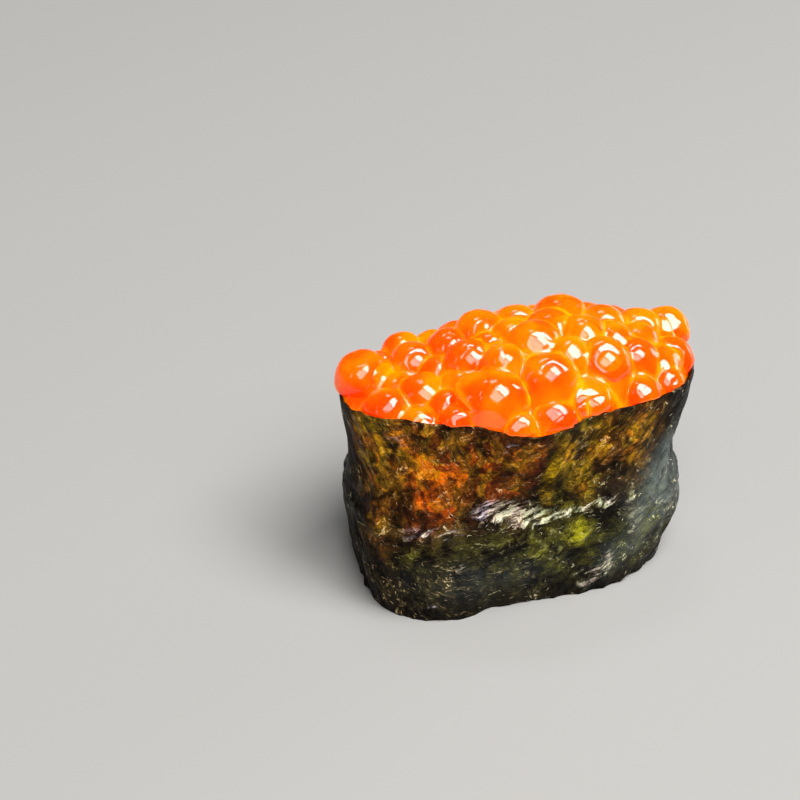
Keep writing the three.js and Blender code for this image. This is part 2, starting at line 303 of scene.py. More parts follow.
# directions (1, tan, tan) / length on the six sides of a cube, edges welded, and their quads
def ballTemplate(steps):
    t = np.tan(np.linspace(-np.pi / 4.0, np.pi / 4.0, steps + 1))
    u, v = np.meshgrid(t, t, indexing="ij")
    one = np.ones_like(u)
    sides = [(one, u, v), (-one, v, u), (v, one, u), (u, -one, v), (u, v, one), (v, u, -one)]
    points = np.concatenate([np.stack(side, axis=-1).reshape(-1, 3) for side in sides])
    quads = repeated(gridFaces(steps + 1, steps + 1, closeColumns=False), (steps + 1) ** 2, len(sides))
    points /= np.linalg.norm(points, axis=1)[:, None]
    _, first, back = np.unique(np.round(points, 5), axis=0, return_index=True, return_inverse=True)
    return points[first], back.reshape(-1)[quads][:, ::-1]


# an output socket; + - * / on it add Math nodes
class Wire:
    def __init__(self, tree, socket):
        self.tree = tree
        self.socket = socket

    def math(self, operation, a, b, clamp=False):
        return node(self.tree, "ShaderNodeMath", {"operation": operation, "use_clamp": clamp}, {0: a, 1: b})

    def __add__(self, other):
        return self.math("ADD", self, other)

    def __radd__(self, other):
        return self.math("ADD", other, self)

    def __sub__(self, other):
        return self.math("SUBTRACT", self, other)

    def __rsub__(self, other):
        return self.math("SUBTRACT", other, self)

    def __mul__(self, other):
        return self.math("MULTIPLY", self, other)

    def __rmul__(self, other):
        return self.math("MULTIPLY", other, self)

    def __truediv__(self, other):
        return self.math("DIVIDE", self, other)

    def __rtruediv__(self, other):
        return self.math("DIVIDE", other, self)

    def clamped(self):
        return self.math("MULTIPLY", self, 1.0, clamp=True)

    def outlet(self, out):  # another output of the same node
        return Wire(self.tree, self.socket.node.outputs[out])


# makes one node: its settings first, then a value or a wire for each named or numbered input
def node(tree, kind, settings=None, inputs=None, out=0):
    made = tree.nodes.new(kind)
    for key, value in (settings or {}).items():
        if key == "stops":
            ramp = made.color_ramp
            while len(ramp.elements) < len(value):
                ramp.elements.new(0.5)
            for element, (place, colour) in zip(ramp.elements, value):
                element.position = place
                element.color = (*colour, 1.0)
        else:
            setattr(made, key, value)
    for key, value in (inputs or {}).items():
        socket = made.inputs[key]
        if isinstance(value, Wire):
            tree.links.new(value.socket, socket)
        else:
            socket.default_value = (*value, 1.0) if socket.type == "RGBA" else value
    return None if out is None else Wire(tree, made.outputs[out])


# an empty material and its node tree
def newMaterial(name):
    material = bpy.data.materials.new(name)
    material.use_nodes = True
    material.node_tree.nodes.clear()
    return material, material.node_tree


# the shader of a material, with these values and wires on its sockets
def finishMaterial(tree, sockets):
    shader = node(tree, "ShaderNodeBsdfPrincipled", {}, sockets)
    node(tree, "ShaderNodeOutputMaterial", {}, {"Surface": shader}, out=None)


# a * (1 - share) + b * share, in colours
def mixColour(share, a, b):
    return node(share.tree, "ShaderNodeMix", {"data_type": "RGBA"}, {0: share, 6: a, 7: b}, out=2)


# colour of a value on a ramp
def onRamp(wire, stops):
    return node(wire.tree, "ShaderNodeValToRGB", {"stops": stops}, {0: wire})


# smooth step of a value, 0 at low and 1 at high
def stepped(wire, low, high):
    return node(wire.tree, "ShaderNodeMapRange", {"interpolation_type": "SMOOTHSTEP"},
                {0: wire, 1: low, 2: high})


# noise on a vector; out=1 gives its colour
def noiseOn(vector, scale, detail, roughness=0.5, out=0):
    return node(vector.tree, "ShaderNodeTexNoise", {},
                {"Vector": vector, "Scale": scale, "Detail": detail, "Roughness": roughness}, out)


# vector + by * amount, in the sheet's plane
def nudged(vector, by, amount):
    return node(vector.tree, "ShaderNodeVectorMath", {"operation": "MULTIPLY_ADD"},
                {0: by, 1: (amount, amount, 0.0), 2: vector})


# a normal from a height of 0 to 1, in metres of distance
def bumped(height, distance, strength=1.0):
    return node(height.tree, "ShaderNodeBump", {},
                {"Strength": strength, "Distance": distance, "Height": height})


# a number that the mesh carries
def attribute(tree, name):
    return node(tree, "ShaderNodeAttribute", {"attribute_name": name}, out=2)


roe = {
    # the heap: a dome over the mouth that climbs from one end to the other
    "heapBase": 30.0, "heapLow": 2.4, "heapRise": 6.8, "heapFrom": -20.0, "heapOver": 34.0, "heapPower": 2.4,
    # eggs that stand out: x, y, z of the middle, diameter
    "standing": [
        (-20, 6, 30, 7.8), (-12.5, 6, 31, 6), (-12.5, 11, 30, 5.6), (-7, 6, 32.5, 6),
        (-2, 6.5, 34, 6.8), (3.5, 6.5, 34.5, 6), (10, 6, 35, 7), (15.5, 3, 34, 6.4),
        (21.5, 3.5, 32.5, 6), (25.9, 4, 31.5, 6.2), (-19, -2.5, 29.5, 5.8), (-13.5, -1.5, 30.5, 6),
        (-6, 0, 34, 5.8), (3.5, -1.5, 35.5, 7), (24, -3, 30.5, 6.2), (17.5, -5, 33, 6),
        (12, -6.5, 34, 7), (3, -8.5, 34.5, 7), (-2.5, -5, 36, 5), (-5, -8.5, 32.5, 8.4),
        (-10.5, -10, 30, 5.2), (2.5, -12.5, 30, 6.5), (11, -9.5, 29.5, 5.8), (16.5, -10.5, 30.5, 5.2),
        (21.5, -8, 30, 4.8), (-3, -13.5, 30, 4.6),
    ],
    # loose eggs: how many, seed of their places, least diameter and range, places tried for each
    "looseCount": 27, "placeSeed": 11, "smallest": 5.8, "spread": 1.2, "tries": 80,
    # settling: overlap allowed as a share of both radii, depth in the heap, steps, and the share
    # of an overlap that a loose egg gives way to a standing one and to a loose one
    "squeeze": 0.93, "sink": 0.7, "settlingSteps": 40, "yieldStanding": 0.7, "yieldLoose": 0.35,
    "swell": 1.19,           # standing eggs are fuller than their places and press on each other
    "looseSwell": 1.14,
    "looseDrop": 1.15,       # the loose ones lie this much lower
    "faceSteps": 16,         # quads along one face of the cube that an egg is blown up from
    "shapeSeed": 3,
    "stretch": (-0.06, 0.07),                                       # least and most, each way
    "wobble": 0.045,                                                # waves of the skin, in radii
    "waves": [(1.1, 3.7, 1.0), (2.3, 5.1, 0.5), (5.5, 2.9, 0.12)],  # how often, apart, share
    # egg number: way it is drawn out, and by how much; it gets thinner by this share of that
    "longEggs": {19: ((0.9, -0.33, -0.12), 0.24), 17: ((0.94, -0.3, 0.0), 0.08), 21: ((0.9, -0.3, -0.1), 0.1),
                 0: ((0.5, 0.6, -0.3), 0.08), 20: ((0.5, -0.2, -0.8), 0.15)},
    "thinner": 0.45,
    # eggs are flatter towards the window: its way, spread, least and most distance in radii
    "facing": ((0.01, -0.69, 0.72), 0.08, 0.82, 0.93),
    "roundEggs": (0, 10),    # these aren't
    # egg number, way, distance of a flat place from the middle in radii
    "flats": [(1, (0.02, -0.68, 0.73), 0.86), (4, (0.0, -0.70, 0.71), 0.93), (9, (0.05, -0.7, 0.7), 0.85),
              (16, (0.1, -0.72, 0.68), 0.93), (19, (-0.02, -0.66, 0.75), 0.88)],
    "flatSoft": 0.2,
    "keptRound": 0.35,       # share of its roundness that a flat place keeps
    # egg number, way, how far in and how wide in radii
    "dents": [(11, (-0.16, -0.80, 0.58), 0.13, 0.34), (20, (-0.05, -0.8, 0.6), 0.12, 0.4),
              (8, (0.0, -0.75, 0.66), 0.08, 0.3), (19, (0.25, -0.80, 0.45), 0.07, 0.3),
              (0, (0.35, -0.70, 0.62), 0.10, 0.35), (14, (-0.1, -0.85, 0.5), 0.06, 0.3)],
    # drawn dents anywhere and near the window: how many, least and most depth and width
    "smallDents": (4, ((0.015, 0.2), (0.05, 0.4))),
    "nearDents": (2, ((0.01, 0.15), (0.045, 0.35))),
    "nearSpread": 0.45,
    "near": 1.0,             # eggs with no more room than this between them press on each other
    "between": 0.02,         # each skin stops this far before the plane where two eggs meet
    "rounding": 0.14,        # softness of the edge of that flat
    "rim": 0.22,             # width of the painted bright glint line there
    "clear": 0.1,            # between the skins and the collar
    "overRim": 6.0,          # how far they may hang out above the rim
    # red places: egg number, way, width, strength; drawn ones: width, strength, share of the eggs
    "redPlaces": [(0, (0.45, -0.6, 0.3), 0.35, 0.8), (5, (-0.2, -0.9, 0.3), 0.5, 0.8),
                  (16, (-0.3, -0.8, 0.3), 0.6, 0.8), (14, (-0.2, -0.7, 0.2), 0.6, 1.0),
                  (11, (-0.5, -0.7, -0.2), 0.5, 0.7), (20, (-0.3, -0.8, 0.1), 0.5, 0.5),
                  (9, (-0.4, -0.6, 0.2), 0.5, 0.8), (10, (-0.4, -0.8, 0.2), 0.6, 0.5)],
    "drawnPlaces": ((0.15, 0.5), 0.6, 0.6),
    "deep": (1.0, 0.094, 0.0), "clearer": (1.0, 0.190, 0.0), "red": (0.97, 0.042, 0.0),
    # juice: the groove colour, painted paler and yellower for light shining through; bright: a painted glint
    # colour
    "juiceGlow": (1.0, 0.27, 0.0), "bright": (1.0, 0.42, 0.002),
    # the skin's shader; its emission gives the eggs a painted glow
    "skin": {
        "Roughness": 0.02, "IOR": 1.42, "Specular IOR Level": 0.1, "Subsurface Weight": 1.0,
        "Subsurface Scale": 0.004, "Subsurface Radius": (1.0, 0.62, 0.08), "Subsurface Anisotropy": 0.7,
        "Emission Strength": 0.25, "Transmission Weight": 0.2, "Coat Weight": 0.25, "Coat Roughness": 0.01,
        "Coat IOR": 2.5,
    },
}

# the wet film that fills the grooves between the eggs, and the filling under them
film = {
    "blend": 0.55,           # how far up the eggs it climbs
    "below": 0.30,           # under the tops of the eggs
    "reach": 0.92,           # share of the radius at which an egg's height goes over to a straight slope
    "bed": 2.6,              # under the heap where there is no egg
    "fullGroove": 2.6,       # equally high eggs that make a full groove
    "deepSkin": 1.0,         # skin further under the film than this counts as groove
    "rings": 84, "columns": 320,
    "bottom": (0.02, 0.5, 0.95),             # rings of the underside, as shares of the collar
    "sideTop": 27.0, "sideRings": 10,
    "top": (0.995, 0.01),                    # first and last ring of the film
}


# base + crest * (1 - reach^power); the crest climbs along x in a smooth step
def heapHeight(x, y):
    angle, reach = fromAxis(x, y, wall["height"])
    reach = np.minimum(reach / wallRadius(angle, wall["height"]), 1.0)
    crest = roe["heapLow"] + roe["heapRise"] * smooth((x - roe["heapFrom"]) / roe["heapOver"])
    return roe["heapBase"] + crest * (1.0 - reach ** roe["heapPower"])


# the same row of draws as in the CAD part: state = state * times + plus, over 2^32
def randomDraws(state, times=1664525, plus=1013904223, over=4294967296):
    while True:
        state = (state * times + plus) % over
        yield state / over


# draws places in to where their eggs clear the collar, and lays them on the heap
def keepInCollar(p, r):
    rim = wall["height"]
    angle, reach = fromAxis(p[:, 0], p[:, 1], rim)
    most = fromAxis(*wallPoint(angle, rim, -wall["sheet"] - wall["gap"] - r), rim)[1]
    x, y = drawnIn(p[:, 0], p[:, 1], rim, np.minimum(1.0, most / reach))
    return np.stack([x, y, heapHeight(x, y) - roe["sink"] * r], axis=1)


# standing eggs stay; each loose one takes the place furthest from all eggs so far, then each
# overlap moves the loose ones by its share along the line between the two middles
def settledEggs():
    draw = randomDraws(roe["placeSeed"])
    standing = np.array(roe["standing"], float)
    place, radius = standing[:, :3], standing[:, 3] / 2.0
    mouth = wall["mouth"]
    for i in range(roe["looseCount"]):
        r = (roe["smallest"] + roe["spread"] * next(draw)) / 2.0
        tries = np.array([[mouth["x"] + mouth["halfLength"] * (2.0 * next(draw) - 1.0),
                           mouth["y"] + mouth["halfDepth"] * (2.0 * next(draw) - 1.0), 0.0]
                          for k in range(roe["tries"])])
        tries = keepInCollar(tries, r)
        room = (np.linalg.norm(tries[:, None] - place[None], axis=2) - radius).min(axis=1)
        place = np.vstack([place, tries[room.argmax()]])
        radius = np.append(radius, r)
    stays = np.arange(len(radius)) < len(standing)
    share = np.where(stays[None], roe["yieldStanding"], roe["yieldLoose"])
    for step in range(roe["settlingSteps"]):
        away = place[:, None] - place[None]
        apart = np.linalg.norm(away, axis=2) + np.eye(len(radius))
        overlap = np.clip(roe["squeeze"] * (radius[:, None] + radius[None]) - apart, 0.0, None)
        np.fill_diagonal(overlap, 0.0)
        moved = place + ((overlap / apart * share)[..., None] * away).sum(axis=1)
        place = np.where(stays[:, None], place, keepInCollar(moved, radius))
    fuller = radius * np.where(stays, roe["swell"], roe["looseSwell"])
    place[:, 2] -= np.where(stays, fuller - radius, roe["looseDrop"])
    return place, fuller


# direction * stretch * radius * (1 + wobble * waves)
def eggBall(k, r, directions, rng):
    stretch = 1.0 + rng.uniform(*roe["stretch"], 3)
    waves = sum(share * noise(directions * often + k * apart, 1.0, roe["shapeSeed"] + i)
                for i, (often, apart, share) in enumerate(roe["waves"]))
    return directions * stretch * (r * (1.0 + roe["wobble"] * waves))[:, None]


# sum of strength * exp(-((1 - cos of the angle between) / width)^2), one drawn and the listed ones
def redMark(k, directions, rng):
    widths, strength, share = roe["drawnPlaces"]
    spot = unit(rng.normal(size=3))
    width = rng.uniform(*widths)
    shown = rng.random() < share
    mark = strength * np.exp(-((1.0 - directions @ spot) / width) ** 2) * shown
    for egg, way, width, strength in roe["redPlaces"]:
        if egg == k:
            mark = mark + strength * np.exp(-((1.0 - directions @ unit(way)) / width) ** 2)
    return mark


# an egg drawn out one way, pressed flatter on its flats, and dented by bells on the ball
def shapedEgg(p, k, r, directions, rng):
    if k in roe["longEggs"]:
        way, more = roe["longEggs"][k]
        way = unit(way)
        along = (p @ way)[:, None]
        p = p * (1.0 - roe["thinner"] * more) + along * way * (1.0 + roe["thinner"]) * more
    facing, spread, least, most = roe["facing"]
    nearWindow = (unit(facing) + spread * rng.normal(size=3), rng.uniform(least, most))
    flats = [] if k in roe["roundEggs"] else [nearWindow]
    flats += [(way, distance) for egg, way, distance in roe["flats"] if egg == k]
    for way, distance in flats:
        s = p @ unit(way)
        press = (pressed(s, distance * r, roe["flatSoft"]) - s) * (1.0 - roe["keptRound"])
        p = p + press[:, None] * unit(way)
    dents = [(way, depth, width) for egg, way, depth, width in roe["dents"] if egg == k]
    count, ranges = roe["smallDents"]
    dents += [(rng.normal(size=3), *rng.uniform(*ranges)) for i in range(count)]
    count, ranges = roe["nearDents"]
    dents += [(unit(facing) + roe["nearSpread"] * rng.normal(size=3), *rng.uniform(*ranges))
              for i in range(count)]
    for way, depth, width in dents:
        away = np.linalg.norm(directions - unit(way), axis=1)
        p = p - (depth * r * np.exp(-(away / width) ** 2))[:, None] * unit(way)
    return p


# an egg held behind the planes in which it and its neighbours cross, each at
# (apart^2 + r^2 - other^2) / (2 * apart) from its middle, and its distance from the nearest one
def meetOthers(p, k, place, radius):
    c, r = place[k], radius[k]
    nearest = np.full(len(p), np.inf)
    for other in np.nonzero(np.linalg.norm(place - c, axis=1) < radius + r + roe["near"])[0]:
        if other == k:
            continue
        away = place[other] - c
        apart = np.linalg.norm(away)
        n = away / apart
        plane = (apart * apart + r * r - radius[other] ** 2) / (2.0 * apart)
        s = p @ n
        nearest = np.minimum(nearest, np.abs(plane - s))
        p = p + (pressed(s, plane - roe["between"], roe["rounding"]) - s)[:, None] * n
    return p, nearest


# points, red marks and the rims where a bright glint is painted, of all eggs, kept inside the collar and
# above the rice
def eggPoints(place, radius, directions):
    rng = np.random.default_rng(roe["shapeSeed"])
    shapes, marks, rims = [], [], []
    for k, (c, r) in enumerate(zip(place, radius)):
        p = eggBall(k, r, directions, rng)
        marks.append(redMark(k, directions, rng))
        p = shapedEgg(p, k, r, directions, rng)
        p, nearest = meetOthers(p, k, place, radius)
        rims.append(np.exp(-(nearest / roe["rim"]) ** 2))
        p = pressInside(p + c, wall["sheet"] + roe["clear"], roe["overRim"])
        p[:, 2] = np.maximum(p[:, 2], wall["riceHeight"] + wall["gap"])
        shapes.append(p)
    return np.concatenate(shapes), np.concatenate(marks), np.concatenate(rims)


# blend * log(sum of exp(tops / blend)) - below, where an egg's top is z + sqrt(r^2 - d^2), going
# over to a straight slope near its side; with how much of a groove each point is
def filmHeight(x, y, place, radius):
    tall = (heapHeight(x, y) - film["bed"]) / film["blend"]
    most = tall
    turn = film["reach"]
    level = np.sqrt(1.0 - turn * turn)
    for c, r in zip(place, radius):
        d = np.hypot(x - c[0], y - c[1]) / r
        top = np.where(d < turn, np.sqrt(np.clip(1.0 - d * d, level * level, None)),
                       level - (d - turn) * turn / level)
        one = (c[2] + r * top) / film["blend"]
        tall = np.logaddexp(tall, one)
        most = np.maximum(most, one)
    return tall * film["blend"] - film["below"], smooth((tall - most) / np.log(film["fullGroove"]))


# rings out over the rice, up along the collar, then in over the heap at the film's height
def fillingPiece(material, place, radius):
    angle = np.linspace(-np.pi, np.pi, film["columns"], endpoint=False)
    clear = -wall["sheet"] - wall["gap"]
    low, high = wall["riceHeight"] + wall["gap"], film["sideTop"]
    rings = [ring(*drawnIn(*wallPoint(angle, low, clear), low, share), low) for share in film["bottom"]]
    rings += [ring(*wallPoint(angle, z, clear), z) for z in np.linspace(low, high, film["sideRings"])]
    sides = len(rings) * len(angle)
    reach = np.linspace(*film["top"], film["rings"])[:, None]
    x, y = drawnIn(*wallPoint(angle, high, clear), wall["height"], reach)
    z, groove = filmHeight(x, y, place, radius)
    rings.extend(ring(x, y, z))
    piece = ringPiece("roe_film", rings, material)
    addAttribute(piece, "mark", np.zeros(len(piece.data.vertices)))
    addAttribute(piece, "groove", np.concatenate([np.ones(sides), groove.ravel()]))
    return piece


# clear and deep orange in clouds, red marks, juice in the grooves painted paler for light shining through it,
# a broken painted glint along the rims and in the grooves, and the colour glowing as painted light; the skin
# is uneven by two sizes of noise
def roeMaterial():
    material, tree = newMaterial("roeSkin")
    place = node(tree, "ShaderNodeTexCoord", out=3)
    mark, groove, rim = attribute(tree, "mark"), attribute(tree, "groove"), attribute(tree, "rim")
    cloud = stepped(noiseOn(place, 150.0, 1.0), 0.4, 0.62)
    broken = stepped(noiseOn(place, 420.0, 1.0), 0.42, 0.62)
    base = mixColour(cloud, roe["deep"], roe["clearer"])
    base = mixColour((mark * 0.8).clamped(), base, roe["red"])
    # painted light: the grooves paler where light shines through the juice
    base = mixColour((groove * 0.8).clamped(), base, roe["juiceGlow"])
    # painted glints along the rims where eggs meet, and specks of them in the grooves
    base = mixColour((rim * (broken * 0.7 + 0.2)).clamped(), base, roe["bright"])
    base = mixColour((groove * broken * 0.5).clamped(), base, roe["bright"])
    uneven = noiseOn(place, 330.0, 1.0) + noiseOn(place, 700.0, 2.0) * 0.06
    # the whole colour also glows: painted light
    finishMaterial(tree, {"Base Color": base, "Emission Color": base, "Normal": bumped(uneven, 0.00022),
                          **roe["skin"]})
    return material


# one ball for each egg, and the filling and film between them
def buildRoe():
    material = roeMaterial()
    place, radius = settledEggs()
    directions, quads = ballTemplate(roe["faceSteps"])
    points, marks, rims = eggPoints(place, radius, directions)
    piece = meshPiece("roe_eggs", points, repeated(quads, len(directions), len(radius)), material)
    addAttribute(piece, "mark", marks)
    addAttribute(piece, "rim", rims)
    height, groove = filmHeight(points[:, 0], points[:, 1], place, radius)
    addAttribute(piece, "groove", np.where(points[:, 2] < height - film["deepSkin"], 1.0, groove))
    return [piece, fillingPiece(material, place, radius)]


nori = {
    "columns": 640, "outerRows": 108, "innerRows": 20,
    "thickness": 0.28,
    "edge": 0.12,            # degrees by which either end stops short of a full turn
    "nick": (1.1, 0.12),     # size and height of the rim's small teeth
    "mostOut": 0.4,          # how far the inner face follows the relief outwards
    # waves of the sheet: stretch of the pattern, size, height, seed
    "crumples": [((1, 1, 1.3), 8.0, 0.42, 1), ((1, 1, 1), 4.2, 0.16, 2)],
    # ridges along the fibres: length, width, height, level, seed; size and amount of their wander
    "ridges": [(8.0, 2.8, 0.42, 0.55, 20), (4.0, 0.8, 0.08, 0.5, 30)],
    "wander": (9.0, 1.0),
    # bumps of the rice behind: size, height, from where they fade, over what height
    "riceBumps": (3.0, 0.26, 12.0, 5.0),
    # fold over the shoulder of the rice: angle, height of its edge, step inwards
    "shoulder": [(-180, 13.4, 0.5), (-150, 12.9, 0.6), (-143, 13.6, 0.7), (-129, 13.9, 0.9),
                 (-124, 16.0, 1.1), (-118, 15.7, 1.3), (-110, 14.7, 1.4), (-99, 13.9, 1.4),
                 (-89, 14.1, 1.2), (-76, 14.8, 0.8), (-62, 15.0, 0.8), (-53, 15.1, 0.7),
                 (-45, 14.4, 0.6), (-20, 13.5, 0.6), (0, 14.5, 0.7), (60, 15.5, 0.8),
                 (120, 15.0, 0.7), (180, 13.4, 0.5)],
    # its wander, size and amount; its step's middle above the edge, softness and fading height
    "foldWander": (5.0, 0.2), "foldStep": (0.5, 0.55, 6.0),
    "perDegree": 0.42,       # millimetres along the strip, for creases
    # creases: from angle and height to angle and height, width, outwards
    "creases": [(-86, 31, -93, 18, 0.8, -0.55), (-83, 30, -88, 17, 0.9, 0.35),
                (-153, 15.6, -128, 13.4, 0.6, -0.4), (-24, 19, -52, 8, 1.1, 0.4),
                (-20, 15, -44, 5, 0.8, 0.35), (-60, 3.5, -50, 7, 0.7, 0.35),
                (-78, 9.5, -48, 12.5, 0.6, 0.25), (-96, 9, -72, 7, 0.7, 0.2),
                (-176, 24, -150, 5, 0.7, 0.3), (-166, 27, -146, 8, 0.6, -0.3),
                (-178, 14, -158, 1, 0.6, 0.3), (-120, 27, -108, 19, 0.7, 0.25),
                (-64, 28, -70, 17, 0.6, -0.3), (-40, 28, -47, 18, 0.7, 0.3),
                (40, 26, 60, 6, 0.9, 0.3), (80, 24, 66, 9, 0.8, -0.3),
                (128, 27, 150, 8, 0.9, 0.35), (160, 25, 168, 6, 0.8, -0.3), (10, 26, 22, 7, 0.9, 0.3)],
    "creaseBend": (5.0, 0.7),                # size and amount of their bends
    # tear: angle, height, millimetres for a degree, depth, half width, half length
    "tear": (-136.5, 3.1, 0.36, 0.7, 0.35, 1.1),
    "mostRelief": (0.42, 0.08),              # how far out it may stand, and softness
    # fibres: degrees up from the strip's length, as they lean left, lie flat and lean right
    "leans": (-58.0, 14.0, 48.0),
    "leftUnder": (-120.0, 40.0), "rightOver": (-105.0, 40.0),     # from this angle on, over this much
    "rightTo": 90.0, "backFrom": 120.0, "backLeft": 0.35,
    "bothAt": (-112.0, 30.0, 0.45),          # both ways cross here: angle, width, share
    "flatHeight": 3.0,                       # above and under the fold
    # where the sheet is thin, and where glow, sheen, highlight and glints are painted on it: angle, height,
    # half width in degrees, half height, strength, hue from red through amber to gold
    "zones": {
        # thin places, warm with the roe's light painted through them as a glow
        "warm": [(-168, 25, 10, 6, 0.75, 0.6), (-152, 25, 9, 5, 0.95, 0.45), (-143, 21.0, 8, 4.6, 1.0, 0.05),
                 (-133, 23, 7, 5, 0.8, 0.35), (-120, 24, 8, 5, 0.65, 0.2), (-106, 24, 7, 6, 0.7, 0.25),
                 (-97, 26, 5, 3, 0.8, 0.1), (-88.5, 21.6, 3.4, 4.6, 1.3, 0.9), (-83, 26, 5, 3, 0.7, 0.7),
                 (-74, 24, 5, 5, 0.6, 0.8), (-60, 26, 7, 4, 0.7, 0.6), (-42, 25, 7, 5, 0.75, 0.55),
                 (-66, 20, 5, 3, 0.55, 0.8), (-160, 15, 8, 5, 0.35, 0.4), (60, 24, 26, 5, 0.6, 0.5),
                 (110, 25, 20, 4, 0.7, 0.4), (150, 24, 14, 5, 0.7, 0.6), (15, 25, 14, 4, 0.5, 0.6)],
        "green": [(-70, 12.1, 6, 2.4, 1.5, 0.9), (-95, 8, 50, 6, 0.36, 0.3), (-146, 10.7, 6, 1.6, 0.5, 0.5),
                  (-55, 9, 10, 4, 0.6, 0.4), (-38, 10, 9, 6, 0.6, 0.3), (-96, 11, 9, 3.5, 0.8, 0.5),
                  (-112, 12.5, 7, 2.5, 0.6, 0.4), (-82, 8, 8, 4, 0.5, 0.5), (-130, 12, 8, 2, 0.4, 0.4),
                  (-78, 17, 6, 2, 0.5, 0.8), (20, 10, 18, 5, 0.6, 0.4), (70, 9, 20, 5, 0.6, 0.5),
                  (125, 10, 16, 5, 0.5, 0.6), (165, 8, 12, 4, 0.4, 0.5)],
        # a painted blue-grey sheen
        "haze": [(-12, 26, 6, 6, 0.8, 0.0), (-24, 19, 5, 4, 1.0, 0.0), (-32, 14, 6, 5, 1.0, 0.0),
                 (-42, 10, 6, 5, 0.9, 0.0), (-52, 6, 6, 3, 0.6, 0.0), (-15, 9, 9, 7, 0.8, 0.0),
                 (-110, 6, 30, 3, 0.25, 0.0), (35, 10, 20, 6, 0.5, 0.0)],
        # the fold's painted highlight
        "pale": [(-121, 17.2, 6, 1.4, 1.1, 0.1), (-110, 16.6, 9, 1.9, 1.2, 0.5),
                 (-99, 15.8, 7, 1.8, 1.25, 0.8), (-90, 15.0, 5, 1.0, 0.9, 0.9),
                 (-78, 15.3, 12, 0.8, 1.0, 0.8), (-58, 15.6, 10, 0.8, 0.8, 0.7),
                 (-138, 14.3, 10, 0.7, 0.9, 0.3), (-147, 13.4, 5, 0.6, 0.6, 0.4),
                 (40, 15.5, 30, 1.2, 0.6, 0.5), (120, 15.3, 20, 1.2, 0.6, 0.5)],
        # painted glints and bright spots
        "spots": [(-54, 5.0, 2.6, 1.8, 1.5, 0.8), (-58.5, 3.4, 3, 1.4, 1.0, 0.6),
                  (-64, 1.9, 4, 1.0, 0.7, 0.5), (-28, 10, 7, 3, 0.6, 0.8), (-45, 12, 5, 5, 0.45, 0.6),
                  (-110, 28.4, 5, 0.7, 1.0, 0.0), (-129, 8.6, 5, 1.6, 0.45, 0.6),
                  (-158, 27.5, 7, 2, 0.4, 0.1), (-70, 25, 4, 3, 0.4, 0.5),
                  (-138.6, 2.1, 1.0, 0.45, 0.5, 0.0), (-136.8, 2.5, 1.0, 0.45, 0.55, 0.0),
                  (-135.0, 3.1, 0.8, 0.5, 0.45, 0.0)],
    },
    # colours: near black ground and patches, a blue-grey painted sheen, a painted shadow for the line under
    # the fold, greenish and warm painted glints, pale streaks of the fold's painted highlight
    "dark": (0.0018, 0.0012, 0.0012), "patch": (0.024, 0.016, 0.009), "sheenTint": (0.095, 0.115, 0.110),
    "foldShadowColour": (0.003, 0.0025, 0.002), "litGreen": (0.72, 0.70, 0.42), "litWarm": (0.95, 0.62, 0.26),
    "foldHighlightStreaks": (0.86, 0.84, 0.72),
    # amber: warm thin places with the roe's light painted through them
    "amber": [(0.0, (0.64, 0.098, 0.001)), (0.35, (0.59, 0.180, 0.003)), (1.0, (0.59, 0.35, 0.006))],
    "olive": [(0.0, (0.07, 0.078, 0.025)), (0.5, (0.14, 0.137, 0.017)), (1.0, (0.38, 0.35, 0.007))],
    # cream: hues of the fold's painted highlight
    "cream": [(0.0, (0.42, 0.34, 0.40)), (0.4, (0.62, 0.50, 0.40)), (1.0, (0.56, 0.60, 0.36))],
    # the emission makes the warm thin places glow: painted light of the roe behind
    "finish": {"IOR": 1.4, "Specular IOR Level": 0.06, "Coat Roughness": 0.14, "Coat IOR": 1.6,
               "Emission Strength": 0.5},
}


# sum of bells in angle and height times their strengths, and the mean hue of those that reach a point
def zoneSum(angle, z, zones):
    total = 0.0
    hue = 0.0
    for at, height, wide, high, strength, tone in zones:
        one = strength * bell(angle, at, wide) * np.exp(-((z - height) / high) ** 2)
        total = total + one
        hue = hue + one * tone
    return total, hue / np.maximum(total, 1e-4)


# straight lines between the rows of the fold's table; column 1 is its height, 2 its step
def alongFold(angle, column):
    return np.interp(np.degrees(angle), *np.array(nori["shoulder"], float).T[[0, column]])


# share of the fibres that lean left, lie flat and lean right: smooth steps in the angle, a bell
# where both ways cross, and a bell in height round the fold for the flat ones
def leanShares(angle, z):
    degrees = np.degrees(angle)
    leftAt, leftOver = nori["leftUnder"]
    rightAt, rightOver = nori["rightOver"]
    at, width, share = nori["bothAt"]
    flat = np.exp(-((z - alongFold(angle, 1)) / nori["flatHeight"]) ** 2)
    left = smooth((leftAt - degrees) / leftOver) + nori["backLeft"] * (np.abs(degrees) > nori["backFrom"])
    right = smooth((degrees - rightAt) / rightOver) * (degrees < nori["rightTo"])
    both = share * bell(angle, at, width)
    return np.clip(left + both, 0.0, 1.0) * (1.0 - flat), flat, np.clip(right + both, 0.0, 1.0) * (1.0 - flat)


# sheet coordinates turned by the lean, then shortened along and across the fibres
def alongFibres(u, v, lean, along, across):
    c, s = np.cos(np.radians(lean)), np.sin(np.radians(lean))
    return np.stack([(u * c + v * s) / along, (v * c - u * s) / across, np.zeros_like(u)], axis=-1)


# sum of share * height * (level - 2 * |noise along the fibres|) over the three leans
def ridgeSum(angle, u, z, points):
    size, amount = nori["wander"]
    u = u + amount * noise(points, size, 11)
    v = z + amount * noise(points, size, 12)
    total = 0.0
    for k, (share, lean) in enumerate(zip(leanShares(angle, z), nori["leans"])):
        folded = 0.0
        for along, across, high, level, seed in nori["ridges"]:
            crest = np.abs(noise(alongFibres(u, v, lean, along, across), 1.0, seed + k))
            folded = folded + high * (level - crest * 2.0)
        total = total + share * folded
    return total


